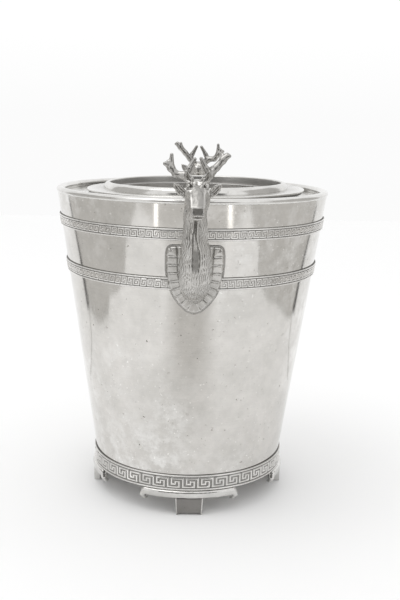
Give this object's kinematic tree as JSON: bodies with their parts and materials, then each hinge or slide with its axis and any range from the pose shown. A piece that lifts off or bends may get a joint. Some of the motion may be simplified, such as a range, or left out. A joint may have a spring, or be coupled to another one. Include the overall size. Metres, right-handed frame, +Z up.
{
  "type": "champagne bucket",
  "caption": "Tapered silver champagne bucket on feet, with Greek-key bands, stag's heads front and back, a loose collar and a lift-out liner.",
  "frame": {"origin": "on the floor under the bucket's axis, at the level of the four feet", "axes": "+Z up, -Y towards the front stag's head, +X to its left hand as one faces it from the front, that is to the viewer's right"},
  "size_m": [0.2214, 0.288, 0.2863],
  "materials": {
    "silver_plate": "antique silver plate, satin polished, softly mottled",
    "chased_silver": "silver plate with a raised Greek key and darkened recesses",
    "cast_silver": "cast and plated, fur grooves darkened, high points polished",
    "foot_silver": "cast and plated, satin",
    "liner_metal": "tinned sheet, dull",
    "fixing_steel": "plain zinc-grey"
  },
  "bodies": {
    "bucket": {"bucket_wall": "silver_plate", "bucket_floor": "silver_plate", "rim_moulding": "silver_plate", "collar_seat": "silver_plate", "upper_key_band": "chased_silver", "lower_key_band": "chased_silver", "base_key_band": "chased_silver", "foot_bar_front": "foot_silver", "foot_bar_right": "foot_silver", "foot_bar_back": "foot_silver", "foot_bar_left": "foot_silver", "foot_leg_front": "foot_silver", "foot_leg_right": "foot_silver", "foot_leg_back": "foot_silver", "foot_leg_left": "foot_silver", "stag_plaque_front": "cast_silver", "stag_bust_front": "cast_silver", "antler_left_front": "cast_silver", "antler_right_front": "cast_silver", "stag_plaque_back": "cast_silver", "stag_bust_back": "cast_silver", "antler_left_back": "cast_silver", "antler_right_back": "cast_silver", "plaque_studs": "fixing_steel", "stud_nuts": "fixing_steel"},
    "collar": {"collar_flange": "silver_plate", "collar_lip": "silver_plate", "collar_skirt": "silver_plate"},
    "liner": {"liner_wall": "liner_metal", "liner_floor": "liner_metal", "liner_rim": "liner_metal"}
  },
  "joints": [
    {"name": "collar_lift", "type": "slide", "parent": "bucket", "child": "collar", "axis": [0, 0, 1], "range_m": [0, 0.08]},
    {"name": "liner_lift", "type": "slide", "parent": "bucket", "child": "liner", "axis": [0, 0, 1], "range_m": [0, 0.26]}
  ]
}
